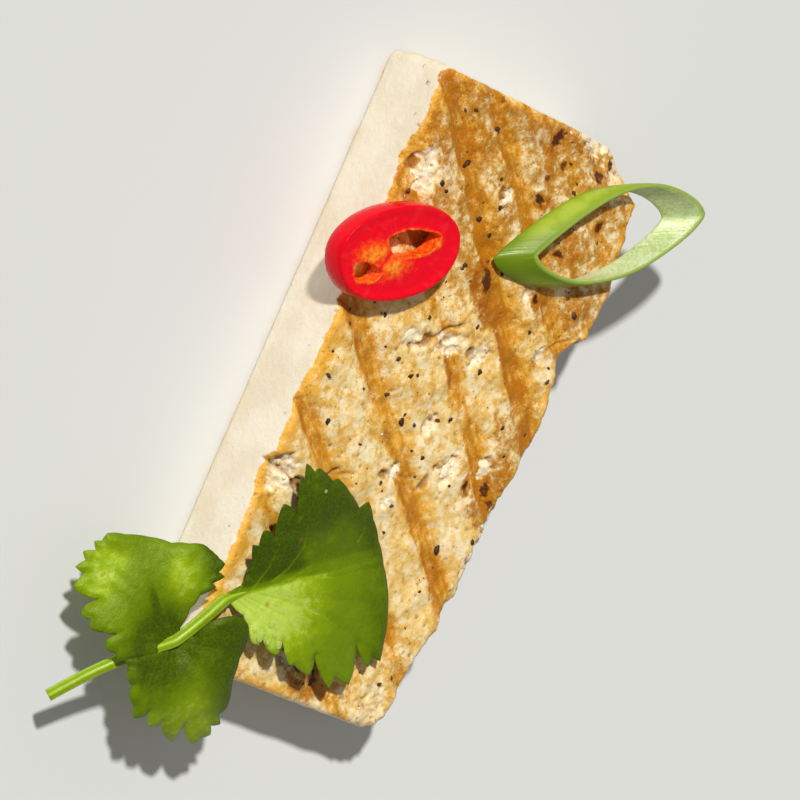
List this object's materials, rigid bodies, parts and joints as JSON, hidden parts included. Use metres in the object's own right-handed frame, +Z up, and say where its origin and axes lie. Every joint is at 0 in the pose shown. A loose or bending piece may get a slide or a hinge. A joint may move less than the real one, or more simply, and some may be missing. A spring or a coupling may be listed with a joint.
{
  "type": "grilled tofu slice",
  "caption": "Thick oblong slice of firm tofu with grill bars across its top, with a chilli ring, a coriander sprig and a loop of spring onion lying on it.",
  "frame": {"origin": "middle of the slab's flat underside", "axes": "+X along the slab's long side, +Y from its smooth pressed side towards its torn side, +Z up through its grilled top"},
  "size_m": [0.1248, 0.0852, 0.0203],
  "materials": {
    "grilled_tofu": "soft, slightly oily browned skin with paler broken places",
    "red_chilli": "wet and glossy",
    "spring_onion": "waxy, with fine lengthwise veins",
    "coriander_leaf": "soft leaf with a slight sheen"
  },
  "bodies": {
    "root": {"tofu_slab": "grilled_tofu", "chilli_ring": "red_chilli", "spring_onion_loop": "spring_onion", "coriander_sprig": "coriander_leaf"}
  },
  "joints": []
}
